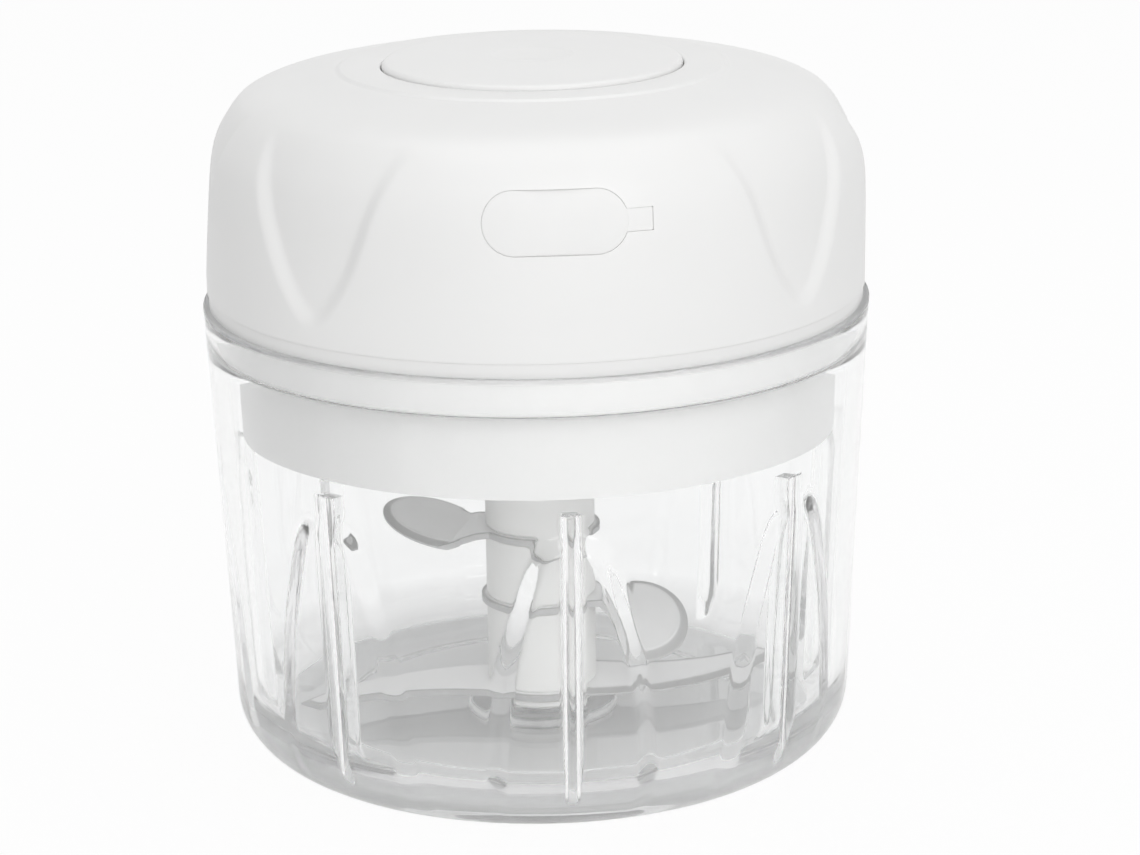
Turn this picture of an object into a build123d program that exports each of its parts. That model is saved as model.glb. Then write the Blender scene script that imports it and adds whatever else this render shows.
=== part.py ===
# Cordless mini food processor: clear ribbed bowl, stacked blade unit and a
# petalled motor head with a press button on top and a charging port in front.
# Millimetres, +Z up, the base stands on z = 0, the charging port faces -Y.
import math
import os

from build123d import *

# Bowl
rim_radius = 44.0
bowl_height = 61.0
wall_lean = 0.044
bowl_wall = 2.4
base_round = 7.2
foot_ring_width = 6.1
foot_recess = 0.8
floor_thickness = 3.0
floor_round = 8.0
rim_wall = 1.4
ledge_drop = 5.0
rib_count = 8
rib_width = 2.0
rib_rise = 2.6
rib_skirt_gap = 1.8
rib_round = 0.5
arch_tip_drop = 3.5
arch_depth = 0.9
arch_spread = 0.40
arch_apex_rise = 5.0
arch_tip_round = 2.8
arch_half_width = 7.6
arch_shoulder_round = 12.0
arch_flank_angle = 35.0
arch_plane_drop = 4.0
boss_radius = 10.0
boss_rise = 1.6
boss_ring_radius = 6.5
boss_ring_rise = 0.5

# Pivot and blade unit
pin_radius = 2.0
pin_top = 15.0
pin_floor = 1.5
pin_chamfer = 0.5
pin_end_gap = 0.4
running_gap = 0.05
hub_radius = 7.4
hub_edge = 0.4
root_margin = 0.7
blade_thickness = 0.8
foot_rise = 1.4
upper_blade_spacing = 9.8
spindle_grip = 5.8
spindle_gap = 5.4
hub_plate_gap = 0.8
spindle_flats = 8.0
blade_rib_gap = 3.1
blade_root_inset = 3.0
blade_tip_rise = 0.6
blade_tip_setback = 2.2
lower_blade_turn = 7.0
middle_blade_turn = -13.0
upper_blade_turn = 173.0
arm_width = 9.0
arm_start = 1.0
bend_radius = 11.4
wing_reach = 20.0
wing_overlap = 0.4
wing_half_width = 6.4
wing_rise = -0.8
wing_tilt = 26.0
neck_half_width = 3.2
arm_dip = 3.2
upper_bend_radius = 10.4
upper_wing_reach = 21.2
upper_arm_dip = 0.4
upper_wing_rise = 2.9
upper_wing_tilt = 7.0
upper_neck_front = 6.0
upper_neck_back = 5.0
bevel_width = 1.3
bevel_drop = 0.55

# Head
head_setback = 0.6
lip_height = 1.8
head_rise = 28.35
shoulder_run = 17.2
head_wall = 2.6
top_ring_slope = 1.6
top_ring_width = 5.0
top_ring_rise = 0.45
petal_count = 8
petal_tip_rise = 3.0
petal_apex_drop = 2.0
petal_spread = 0.55
petal_knee_rise = 12.5
petal_upper_spread = 0.33
petal_knee_round = 14.0
petal_tip_round = 2.4
petal_depth = 1.47
petal_tip_depth = 0.4
petal_deepening = 0.075
petal_fade_run = 25.0
petal_fade_slope = 0.26
petal_flank_angle = 42.0
petal_overrun = 4.0
petal_reach_in = 14.0
lip_setback = 0.8
plug_gap = 0.3
seal_width = 2.4
skirt_lean = 0.03
skirt_drop = 11.2
skirt_wall = 2.2
seal_thickness = 0.6
plate_rise = 2.4
plate_thickness = 2.4
post_radius = 3.2
post_wall_gap = 0.5
post_turns = (-70.0, 70.0, 180.0)

# Button, switch and board
button_gap = 0.35
button_rise = 0.6
button_crown = 0.6
button_edge = 0.7
button_wall = 2.0
button_travel = 1.6
flange_width = 1.8
flange_thickness = 1.5
stem_radius = 2.5
stem_gap = 0.2
button_roof = 1.4
dish_radius = 5.7
dish_depth = 0.5
board_thickness = 1.2
board_setback = 13.4
board_clearance = 1.05
board_tongue = 15.0
board_socket_lip = 0.5
switch_size = 6.2
switch_body_height = 3.5
switch_round = 0.5
switch_floor = 0.6
plunger_grip = 1.0
plunger_radius = 1.6
plunger_gap = 0.3
spring_radius = 6.4
spring_wire = 0.7
spring_turns = 4
board_post_radius = 2.6
board_post_inset = 3.0
board_post_turns = (-30.0, 30.0, 150.0, -150.0)

# Charging port
port_drop = 11.2
flap_width = 17.6
flap_height = 7.7
flap_thickness = 1.1
flap_gap = 0.28
flap_offset = -1.45
tab_length = 3.0
tab_height = 2.8
tab_overlap = 1.0
plug_width = 10.4
plug_height = 5.2
plug_depth = 1.2
plug_clearance = 0.6
plug_sink = 0.1
socket_width = 7.5
socket_height = 2.6
socket_depth = 5.6
socket_setback = 4.5
socket_chamfer = 0.9
socket_tongue = 0.6
socket_tongue_rise = 0.15
socket_tongue_setback = 1.0
socket_shell = 0.3

# Motor and drive
motor_radius = 12.1
can_round = 1.0
motor_thread_depth = 3.0
screw_end_gap = 0.2
cap_step = 1.5
cap_round = 0.8
vent_width = 1.0
vent_length = 4.0
vent_depth = 0.6
cap_length = 2.6
shaft_radius = 1.5
shaft_inset = 1.6
bracket_plate = 3.0
bracket_wall = 1.8
bracket_rise = 14.0
bracket_flange_width = 9.0
bracket_flange_margin = 3.0
bracket_screw_gap = 1.3
bracket_neck_gap = 1.2
bracket_screw_bite = 1.4
blind_floor = 0.8
motor_screw_circle = 8.0
coupling_flats = 8.0
coupling_gap = 0.3
coupling_reach = 7.0
coupling_end_gap = 0.6
coupling_chamfer = 0.6
coupling_neck = 4.9
neck_drop = 0.3
neck_rise = 0.6
neck_gap = 0.7
seal_outer = 9.0
seal_depth = 1.4

# Battery
cell_bracket_gap = 0.6
cell_post_gap = 2.1
cell_end_gap = 3.06
cell_board_gap = 3.15
cell_tip = 1.0
cell_round = 0.6
holder_inset = 9.5
holder_margin = 2.0
holder_wall = 2.0
holder_base = 1.6
strip_width = 3.0
strip_thickness = 0.3
strip_margin = 1.1
strip_drop = 2.0
strip_board_gap = 1.6

# Screws
screw_radius = 1.3
screw_head_radius = 2.5
screw_head_height = 1.6
screw_hole_gap = 0.35
small_screw_radius = 0.9
small_head_radius = 1.8
small_head_height = 1.2
small_hole_gap = 0.1
post_screw_grip = 8.4
board_screw_grip = 3.6
screw_tip_gap = 0.6
small_tip_gap = 0.4


def outer_radius(height):
    return rim_radius - wall_lean * (bowl_height - height)


def inner_radius(height):
    return outer_radius(height) - bowl_wall


# Bowl, rim and head: what follows from the sizes above
foot_ring_radius = outer_radius(0) - base_round - foot_ring_width
ledge_height = bowl_height - ledge_drop
boss_top = floor_thickness + boss_rise
head_radius = rim_radius - head_setback
lip_radius = rim_radius - lip_setback
plug_radius = rim_radius - rim_wall - plug_gap
plug_bottom = ledge_height + seal_thickness
skirt_radius = plug_radius - seal_width
skirt_bottom = ledge_height - skirt_drop
plate_height = skirt_bottom + plate_rise
plate_top = plate_height + plate_thickness
post_circle = skirt_radius - skirt_wall - post_wall_gap - post_radius
parting_height = bowl_height + lip_height
shoulder_top = parting_height + head_rise
roof_top = shoulder_top + top_ring_rise
roof_under = shoulder_top - head_wall
petal_tip = parting_height + petal_tip_rise
rib_top = skirt_bottom - rib_skirt_gap
arch_tip = rib_top - arch_tip_drop

# Blade unit, hung from the head's plate and standing on the bowl's boss
hub_top = plate_height - hub_plate_gap
coupling_bottom = hub_top - coupling_reach
spindle_top = coupling_bottom - spindle_gap
lower_blade_height = boss_top + foot_rise
upper_blade_height = spindle_top - spindle_grip
middle_blade_height = upper_blade_height - upper_blade_spacing
root_radius = hub_radius + root_margin
lower_blade_reach = inner_radius(lower_blade_height) - rib_rise - blade_rib_gap

# Top of the head: ring, button, port, board and switch
top_ring_radius = head_radius - shoulder_run - top_ring_slope
button_radius = top_ring_radius - top_ring_width
port_height = shoulder_top - port_drop
board_bottom = port_height + socket_height / 2
board_top = board_bottom + board_thickness
board_radius = head_radius - board_setback
board_post_circle = board_radius - board_post_inset
socket_front = head_radius - socket_setback
board_reach = socket_front - board_socket_lip
switch_top = board_top + switch_body_height
button_top = roof_top + button_rise
stem_bottom = switch_top + button_travel + stem_gap
button_under = roof_under + button_roof

# The motor stands between its bracket and the board, the cell between bracket and rear post
motor_bottom = plate_top + bracket_plate
cap_top = board_bottom - board_clearance
motor_top = cap_top - cap_length
motor_length = motor_top - motor_bottom
cap_radius = motor_radius - cap_step
bracket_screw_circle = motor_radius + bracket_wall + small_head_radius + bracket_screw_gap
bracket_flange = bracket_screw_circle + bracket_flange_margin
cell_front = motor_radius + bracket_wall + cell_bracket_gap
cell_back = post_circle - post_radius - cell_post_gap
cell_radius = (cell_back - cell_front) / 2
cell_offset = cell_front + cell_radius
cell_height = board_bottom - cell_board_gap - cell_radius
cell_corner = head_radius - head_wall - cell_end_gap
cell_length = 2 * math.sqrt(cell_corner ** 2 - cell_back ** 2)
holder_half_span = cell_length / 2 - holder_inset
strip_edge = cell_offset + strip_width / 2
strip_landing = math.sqrt(board_radius ** 2 - strip_edge ** 2) - strip_margin


def soft_lesser(first, second, blend):
    # the smaller of two values with a rounded changeover
    return 0.5 * (first + second - math.hypot(first - second, blend))


def along(turn, distance):
    # a point on the ground plane, the turn counted from the front towards +X
    angle = math.radians(turn)
    return (distance * math.sin(angle), -distance * math.cos(angle))


# Head profile: nearly upright side, then the shoulder up to the top ring
shoulder_shares = [
    (0.0, 0.0),
    (0.0, 0.162),
    (0.0, 0.325),
    (0.003, 0.466),
    (0.0175, 0.589),
    (0.064, 0.695),
    (0.145, 0.783),
    (0.238, 0.8535),
    (0.366, 0.91),
    (0.5755, 0.9525),
    (0.8255, 0.9805),
    (1.0, 1.0),
]
shoulder_points = []
for inward, upward in shoulder_shares:
    shoulder_points.append((head_radius - inward * shoulder_run, parting_height + upward * head_rise))

# The turned pieces of the head start from a plane between two petals
turning_plane = Plane.XZ.rotated((0, 0, 180.0 / petal_count))
shoulder_tangents = [(0, 1), (-1, 0.14)]
shoulder_line = Edge.make_spline(
    [Vector(*point) for point in shoulder_points], tangents=[Vector(*one) for one in shoulder_tangents]
)


def shoulder_places(count):
    # places along the shoulder with the outward direction and the run from the petal tip
    places = []
    for index in range(count + 1):
        share = index / count
        point = shoulder_line.position_at(share)
        tangent = shoulder_line.tangent_at(share)
        run = share * shoulder_line.length + parting_height - petal_tip
        places.append((point.X, point.Y, tangent.Y, -tangent.X, run))
    return places


def dome_solid(amount, top):
    # the turned head shape, set inwards by an amount and closed by a flat top
    places = []
    for radius, height, out_radial, out_up, run in shoulder_places(14):
        places.append((radius - out_radial * amount, height - out_up * amount))
    with BuildPart(mode=Mode.PRIVATE) as dome:
        with BuildSketch(turning_plane):
            with BuildLine():
                if amount == 0.0:
                    Spline(*shoulder_points, tangents=shoulder_tangents)
                else:
                    Spline(*places, tangents=shoulder_tangents)
                Polyline(
                    places[-1], (top_ring_radius, top), (0, top), (0, parting_height), places[0]
                )
            make_face()
        revolve(axis=Axis.Z)
    return dome.part


def petal_floor(run):
    # depth of the petal floor along the shoulder: deepens upwards, then fades out
    deepening = petal_tip_depth + petal_deepening * max(run, 0.0)
    fading = petal_fade_slope * (petal_fade_run - run)
    return soft_lesser(soft_lesser(deepening, petal_depth, 0.2), fading, 0.4)


# Bowl: clear, smooth outside, with upright ribs and arched pads inside
with BuildPart(mode=Mode.PRIVATE) as arch_core:
    with BuildSketch(turning_plane):
        with BuildLine():
            Polyline(
                (0, -floor_thickness),
                (inner_radius(-floor_thickness) - arch_depth, -floor_thickness),
                (inner_radius(bowl_height) - arch_depth, bowl_height),
                (0, bowl_height),
                close=True,
            )
        make_face()
    revolve(axis=Axis.Z)

arch_shoulder = arch_tip + arch_apex_rise - arch_half_width / arch_spread
with BuildPart(mode=Mode.PRIVATE) as arch_pad:
    with BuildSketch(Plane.XZ.offset(inner_radius(0) - arch_plane_drop)) as arch_outline:
        with BuildLine():
            Polyline(
                (0, arch_tip + arch_apex_rise),
                (arch_half_width, arch_shoulder),
                (arch_half_width, 0),
                (-arch_half_width, 0),
                (-arch_half_width, arch_shoulder),
                close=True,
            )
        make_face()
        by_height = arch_outline.vertices().sort_by(Axis.Y)
        fillet(by_height[-1], radius=arch_tip_round)
        shoulders = arch_outline.vertices().filter_by(lambda one: abs(one.Y - arch_shoulder) < 0.01)
        fillet(shoulders, radius=arch_shoulder_round)
    extrude(amount=5 * bowl_wall, taper=-arch_flank_angle)
    add(arch_core.part, mode=Mode.SUBTRACT)

with BuildPart(mode=Mode.PRIVATE) as rib:
    with BuildSketch(Plane.XZ):
        with BuildLine():
            Polyline(
                (inner_radius(0) - rib_rise, 0),
                (inner_radius(rib_top) - rib_rise, rib_top),
                (inner_radius(rib_top) + bowl_wall / 2, rib_top),
                (inner_radius(0) + bowl_wall / 2, 0),
                close=True,
            )
        make_face()
    extrude(amount=rib_width / 2, both=True)
    upright_edges = rib.edges().filter_by(lambda edge: edge.length > rib_top * 0.9)
    fillet(upright_edges.sort_by(Axis.X)[:2], radius=rib_round)

with BuildPart(mode=Mode.PRIVATE) as cavity:
    with BuildSketch(Plane.XZ) as cavity_outline:
        with BuildLine():
            Polyline(
                (0, floor_thickness),
                (inner_radius(floor_thickness), floor_thickness),
                (inner_radius(ledge_height), ledge_height),
                (rim_radius - rim_wall, ledge_height),
                (rim_radius - rim_wall, bowl_height),
                (0, bowl_height),
                close=True,
            )
        make_face()
        floor_corner = cavity_outline.vertices().group_by(Axis.Y)[0].sort_by(Axis.X)[-1]
        fillet(floor_corner, radius=floor_round)
    revolve(axis=Axis.Z)
    for index in range(rib_count):
        turn = 360.0 * index / rib_count
        add(arch_pad.part.rotate(Axis.Z, turn), mode=Mode.SUBTRACT)
        add(rib.part.rotate(Axis.Z, turn - 90.0), mode=Mode.SUBTRACT)
    with Locations((0, 0, floor_thickness)):
        Cylinder(
            boss_radius, boss_rise - boss_ring_rise,
            align=(Align.CENTER, Align.CENTER, Align.MIN), mode=Mode.SUBTRACT,
        )
        Cylinder(
            boss_ring_radius, boss_rise,
            align=(Align.CENTER, Align.CENTER, Align.MIN), mode=Mode.SUBTRACT,
        )

with BuildPart() as bowl:
    with BuildSketch(Plane.XZ) as bowl_outline:
        with BuildLine():
            Polyline(
                (0, 0), (outer_radius(0), 0), (rim_radius, bowl_height), (0, bowl_height), close=True
            )
        make_face()
        base_corner = bowl_outline.vertices().group_by(Axis.Y)[0].sort_by(Axis.X)[-1]
        fillet(base_corner, radius=base_round)
    revolve(axis=Axis.Z)
    add(cavity.part, mode=Mode.SUBTRACT)
    Cylinder(
        foot_ring_radius, foot_recess,
        align=(Align.CENTER, Align.CENTER, Align.MIN), mode=Mode.SUBTRACT,
    )
    with Locations((0, 0, pin_floor)):
        Cylinder(
            pin_radius, bowl_height,
            align=(Align.CENTER, Align.CENTER, Align.MIN), mode=Mode.SUBTRACT,
        )

with BuildPart() as pivot_pin:
    with Locations((0, 0, pin_floor)):
        Cylinder(pin_radius, pin_top - pin_floor, align=(Align.CENTER, Align.CENTER, Align.MIN))
    chamfer(pivot_pin.edges().group_by(Axis.Z)[-1], length=pin_chamfer)


# Blade unit: three steel blades clamped between moulded hub pieces on a six-sided spindle
def hub_piece(bottom, top):
    with BuildPart(mode=Mode.PRIVATE) as piece:
        with BuildSketch(Plane.XY.offset(bottom)):
            Circle(hub_radius)
            RegularPolygon(spindle_flats / 2, 6, major_radius=False, mode=Mode.SUBTRACT)
        extrude(amount=top - bottom)
        rounds = piece.edges().filter_by(GeomType.CIRCLE)
        chamfer(rounds, length=hub_edge)
    return piece.part


def strip_outline(path, thickness):
    # a bent sheet seen from the side: the path and its copy one thickness above
    upper = []
    for index, point in enumerate(path):
        before = path[max(index - 1, 0)]
        after = path[min(index + 1, len(path) - 1)]
        first = math.atan2(point[1] - before[1], point[0] - before[0])
        second = math.atan2(after[1] - point[1], after[0] - point[0])
        if index == 0:
            first = second
        if index == len(path) - 1:
            second = first
        middle = (first + second) / 2
        stretch = thickness / math.cos((second - first) / 2)
        upper.append((point[0] - stretch * math.sin(middle), point[1] + stretch * math.cos(middle)))
    return list(path) + upper[::-1]


def winged_blade(height, bend_at, reach, dip, rise, tilt, right_neck, left_neck, turn):
    # a single wing folded up from the arm along a slanting line, sharpened along its round edge
    arm_slope = -dip / (bend_at - hub_radius - arm_start)
    wing_slope = rise / (reach - bend_at)
    side_slope = math.tan(math.radians(tilt))
    fold_place = (bend_at, 0, height - dip)
    arm_way = Vector(-arm_slope, 0, 1).normalized()
    wing_way = Vector(-wing_slope, -side_slope, 1).normalized()
    fold = Plane(fold_place, x_dir=(0, 0, 1), z_dir=arm_way - wing_way)
    strip_end = reach - bend_at
    path = [
        (-root_radius, height),
        (hub_radius + arm_start, height),
        (bend_at, height - dip),
        (bend_at + strip_end, height - dip + arm_slope * strip_end),
    ]
    with BuildPart(mode=Mode.PRIVATE) as arm:
        with BuildSketch(Plane.XZ):
            with BuildLine():
                Polyline(*strip_outline(path, blade_thickness), close=True)
            make_face()
        extrude(amount=root_radius, both=True)
        split(bisect_by=fold, keep=Keep.BOTTOM)
    with BuildPart(mode=Mode.PRIVATE) as wing:
        with BuildSketch(Plane(fold_place, x_dir=(1, 0, wing_slope), z_dir=wing_way)):
            Rectangle(2 * reach, 2 * reach)
        extrude(amount=blade_thickness)
        split(bisect_by=fold, keep=Keep.TOP)
    with BuildPart(mode=Mode.PRIVATE) as blade:
        add(arm.part)
        add(wing.part)
        with BuildSketch(Plane.XY.offset(height - dip - wing_half_width)):
            Circle(root_radius)
            with BuildLine():
                Polyline(
                    (hub_radius - arm_start, -arm_width / 2),
                    (bend_at + wing_overlap, -right_neck),
                    (bend_at + wing_overlap, left_neck),
                    (hub_radius - arm_start, arm_width / 2),
                    close=True,
                )
            make_face()
            with BuildLine():
                wing_arc = ThreePointArc(
                    (bend_at + wing_overlap / 2, -wing_half_width),
                    (reach, wing_half_width * 0.1),
                    (bend_at + wing_overlap / 2, wing_half_width),
                )
                Line(wing_arc @ 1, wing_arc @ 0)
            make_face()
        extrude(amount=hub_top, mode=Mode.INTERSECT)
        sharp = blade.edges().filter_by(GeomType.ELLIPSE).sort_by(SortBy.LENGTH)[-2:]
        upper_edge = sharp.sort_by(Axis.Z)[-1]
        wing_face = blade.faces().filter_by(lambda one: upper_edge in one.edges()).sort_by(SortBy.AREA)[-1]
        chamfer(upper_edge, length=bevel_width, length2=bevel_drop, reference=wing_face)
    return blade.part.rotate(Axis.Z, turn)


with BuildPart() as spindle:
    with BuildSketch(Plane.XY.offset(boss_top)):
        RegularPolygon(spindle_flats / 2, 6, major_radius=False)
    extrude(amount=spindle_top - boss_top)
    with Locations((0, 0, boss_top)):
        Cylinder(
            pin_radius + running_gap, pin_top - boss_top + pin_end_gap,
            align=(Align.CENTER, Align.CENTER, Align.MIN), mode=Mode.SUBTRACT,
        )

with BuildPart() as hub_foot:
    add(hub_piece(boss_top, lower_blade_height))

with BuildPart(mode=Mode.PRIVATE) as spindle_hole:
    with BuildSketch(Plane.XY):
        RegularPolygon(spindle_flats / 2, 6, major_radius=False)
    extrude(amount=hub_top)

with BuildPart(mode=Mode.PRIVATE) as curved_blade:
    with BuildSketch(Plane.XY.offset(lower_blade_height)) as curved_outline:
        Circle(root_radius)
        with BuildLine():
            cutting_arc = ThreePointArc(
                (blade_root_inset, -root_radius * 0.85),
                (lower_blade_reach * 0.62, -arm_width * 0.72),
                (lower_blade_reach, blade_tip_rise),
            )
            tip_line = Line(cutting_arc @ 1, (lower_blade_reach - blade_tip_setback, arm_width * 0.36))
            ThreePointArc(
                tip_line @ 1,
                (lower_blade_reach * 0.55, arm_width * 0.14),
                (blade_root_inset, root_radius * 0.85),
            )
            Line((blade_root_inset, root_radius * 0.85), (blade_root_inset, -root_radius * 0.85))
        make_face()
        add(curved_outline.sketch.rotate(Axis.Z, 180))
    extrude(amount=blade_thickness)
    long_arcs = curved_blade.edges().filter_by(GeomType.CIRCLE).sort_by(SortBy.LENGTH)
    top_arcs = long_arcs.filter_by(lambda edge: edge.center().Z > lower_blade_height + blade_thickness / 2)
    for sharp_arc in top_arcs.sort_by(SortBy.LENGTH)[-2:]:
        flat_face = curved_blade.faces().sort_by(Axis.Z)[-1]
        chamfer(sharp_arc, length=bevel_width, length2=bevel_drop, reference=flat_face)

with BuildPart() as lower_blade:
    add(curved_blade.part.rotate(Axis.Z, lower_blade_turn))
    add(spindle_hole.part, mode=Mode.SUBTRACT)

with BuildPart() as hub_lower:
    add(hub_piece(lower_blade_height + blade_thickness, middle_blade_height))

with BuildPart() as middle_blade:
    add(
        winged_blade(
            middle_blade_height, bend_radius, wing_reach, arm_dip, wing_rise, wing_tilt,
            neck_half_width, neck_half_width, middle_blade_turn,
        )
    )
    add(spindle_hole.part, mode=Mode.SUBTRACT)

with BuildPart() as hub_middle:
    add(hub_piece(middle_blade_height + blade_thickness, upper_blade_height))

with BuildPart() as upper_blade:
    add(
        winged_blade(
            upper_blade_height, upper_bend_radius, upper_wing_reach, upper_arm_dip, upper_wing_rise,
            -upper_wing_tilt, upper_neck_back, upper_neck_front, upper_blade_turn,
        )
    )
    add(spindle_hole.part, mode=Mode.SUBTRACT)

with BuildPart() as hub_upper:
    hub_upper_bottom = upper_blade_height + blade_thickness
    with BuildSketch(Plane.XY.offset(hub_upper_bottom)):
        Circle(hub_radius)
    extrude(amount=hub_top - hub_upper_bottom)
    chamfer(hub_upper.edges().filter_by(GeomType.CIRCLE), length=hub_edge)
    with BuildSketch(Plane.XY.offset(hub_upper_bottom)):
        RegularPolygon(spindle_flats / 2, 6, major_radius=False)
    extrude(amount=spindle_top - hub_upper_bottom, mode=Mode.SUBTRACT)
    with BuildSketch(Plane.XY.offset(hub_top)):
        RegularPolygon(coupling_flats / 2 + coupling_gap, 6, major_radius=False)
    extrude(amount=-(hub_top - coupling_bottom + coupling_end_gap), mode=Mode.SUBTRACT)

# Motor drive: shaft and six-sided coupling that dips into the hub
with BuildPart() as motor_shaft:
    with Locations((0, 0, coupling_bottom + shaft_inset)):
        Cylinder(
            shaft_radius, cap_top - coupling_bottom - shaft_inset,
            align=(Align.CENTER, Align.CENTER, Align.MIN),
        )

with BuildPart() as drive_coupling:
    with BuildSketch(Plane.XY.offset(coupling_bottom)):
        RegularPolygon(coupling_flats / 2, 6, major_radius=False)
    extrude(amount=plate_height - neck_drop - coupling_bottom)
    chamfer(drive_coupling.edges().group_by(Axis.Z)[0], length=coupling_chamfer)
    with Locations((0, 0, plate_height - neck_drop)):
        Cylinder(
            coupling_neck, neck_drop + plate_thickness + neck_rise,
            align=(Align.CENTER, Align.CENTER, Align.MIN),
        )
    with Locations((0, 0, coupling_bottom + shaft_inset)):
        Cylinder(
            shaft_radius, bowl_height, align=(Align.CENTER, Align.CENTER, Align.MIN), mode=Mode.SUBTRACT
        )

# Head shell: turned dome with finger petals sunk into its side
floor_places = []
for radius, height, out_radial, out_up, run in shoulder_places(24)[:-3]:
    floor_places.append((radius - out_radial * petal_floor(run), height - out_up * petal_floor(run)))
with BuildPart(mode=Mode.PRIVATE) as petal_floor_dome:
    with BuildSketch(turning_plane):
        with BuildLine():
            Spline(*floor_places)
            Polyline(
                floor_places[-1], (0, floor_places[-1][1]), (0, floor_places[0][1]), floor_places[0]
            )
        make_face()
    revolve(axis=Axis.Z)

with BuildPart(mode=Mode.PRIVATE) as petal_cutter:
    petal_apex = petal_tip - petal_apex_drop
    petal_height = roof_top + petal_overrun - petal_apex
    petal_knee = petal_spread * petal_knee_rise
    petal_half_width = petal_knee + petal_upper_spread * (petal_height - petal_knee_rise)
    with BuildSketch(Plane.XZ.offset(head_radius - petal_depth)) as petal_outline:
        with BuildLine():
            Polyline(
                (0, petal_apex),
                (petal_knee, petal_apex + petal_knee_rise),
                (petal_half_width, petal_apex + petal_height),
                (-petal_half_width, petal_apex + petal_height),
                (-petal_knee, petal_apex + petal_knee_rise),
                close=True,
            )
        make_face()
        by_height = petal_outline.vertices().sort_by(Axis.Y)
        fillet(by_height[0], radius=petal_tip_round)
        knees = petal_outline.vertices().filter_by(lambda one: abs(one.Y - petal_apex - petal_knee_rise) < 0.01)
        fillet(knees, radius=petal_knee_round)
    extrude(amount=3 * head_wall, taper=-petal_flank_angle)
    extrude(petal_outline.sketch.face(), amount=-petal_reach_in)
    add(petal_floor_dome.part, mode=Mode.SUBTRACT)

with BuildPart(mode=Mode.PRIVATE) as head_hollow:
    add(dome_solid(head_wall, roof_under))
    for turn in post_turns:
        with Locations((*along(turn, post_circle), parting_height)):
            Cylinder(
                post_radius, head_radius,
                align=(Align.CENTER, Align.CENTER, Align.MIN), mode=Mode.SUBTRACT,
            )
    for turn in board_post_turns:
        with Locations((*along(turn, board_post_circle), board_top)):
            Cylinder(
                board_post_radius, head_radius,
                align=(Align.CENTER, Align.CENTER, Align.MIN), mode=Mode.SUBTRACT,
            )

with BuildPart(mode=Mode.PRIVATE) as port_recess:
    with BuildSketch(Plane.XZ.offset(head_wall)):
        with Locations((flap_offset, port_height)):
            SlotOverall(flap_width + 2 * flap_gap, flap_height + 2 * flap_gap)
        with Locations((flap_offset + flap_width / 2 - tab_overlap, port_height)):
            Rectangle(tab_length + tab_overlap, tab_height, align=(Align.MIN, Align.CENTER))
    extrude(amount=head_radius)
    add(dome_solid(flap_thickness + flap_gap, roof_under), mode=Mode.SUBTRACT)

with BuildPart() as upper_housing:
    add(dome_solid(0.0, roof_top))
    for index in range(1, petal_count):
        add(petal_cutter.part.rotate(Axis.Z, 360.0 * index / petal_count), mode=Mode.SUBTRACT)
    add(head_hollow.part, mode=Mode.SUBTRACT)
    for turn in post_turns:
        with Locations((*along(turn, post_circle), parting_height)):
            Cylinder(
                screw_radius, post_screw_grip + screw_tip_gap,
                align=(Align.CENTER, Align.CENTER, Align.MIN), mode=Mode.SUBTRACT,
            )
    for turn in board_post_turns:
        with Locations((*along(turn, board_post_circle), board_top)):
            Cylinder(
                small_screw_radius, board_screw_grip + small_tip_gap,
                align=(Align.CENTER, Align.CENTER, Align.MIN), mode=Mode.SUBTRACT,
            )
    with Locations((0, 0, roof_top)):
        Cylinder(button_radius + button_gap, 4 * head_wall, mode=Mode.SUBTRACT)
    add(port_recess.part, mode=Mode.SUBTRACT)
    with BuildSketch(Plane.XZ.offset(head_radius - 2 * head_wall)):
        with Locations((flap_offset, port_height)):
            SlotOverall(plug_width + 2 * plug_clearance, plug_height + 2 * plug_clearance)
    extrude(amount=3 * head_wall, mode=Mode.SUBTRACT)

with BuildPart(mode=Mode.PRIVATE) as flap_plug:
    with BuildSketch(Plane.XZ.offset(head_wall)):
        with Locations((flap_offset, port_height)):
            SlotOverall(plug_width, plug_height)
    extrude(amount=head_radius)
    add(dome_solid(flap_thickness - plug_sink, roof_under), mode=Mode.INTERSECT)
    add(dome_solid(flap_thickness + plug_depth, roof_under), mode=Mode.SUBTRACT)

with BuildPart() as port_flap:
    with BuildSketch(Plane.XZ.offset(head_wall)):
        with Locations((flap_offset, port_height)):
            SlotOverall(flap_width, flap_height)
        with Locations((flap_offset + flap_width / 2 - tab_overlap, port_height)):
            Rectangle(tab_overlap, tab_height - flap_gap, align=(Align.MIN, Align.CENTER))
    extrude(amount=head_radius)
    add(dome_solid(0.0, roof_top), mode=Mode.INTERSECT)
    add(dome_solid(flap_thickness, roof_under), mode=Mode.SUBTRACT)
    add(flap_plug.part)

with BuildPart() as flap_tether:
    with BuildSketch(Plane.XZ.offset(head_wall)):
        with Locations((flap_offset + flap_width / 2 + flap_gap, port_height)):
            Rectangle(tab_length - flap_gap, tab_height, align=(Align.MIN, Align.CENTER))
    extrude(amount=head_radius)
    add(dome_solid(0.0, roof_top), mode=Mode.INTERSECT)
    add(dome_solid(flap_thickness + flap_gap, roof_under), mode=Mode.SUBTRACT)

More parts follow.
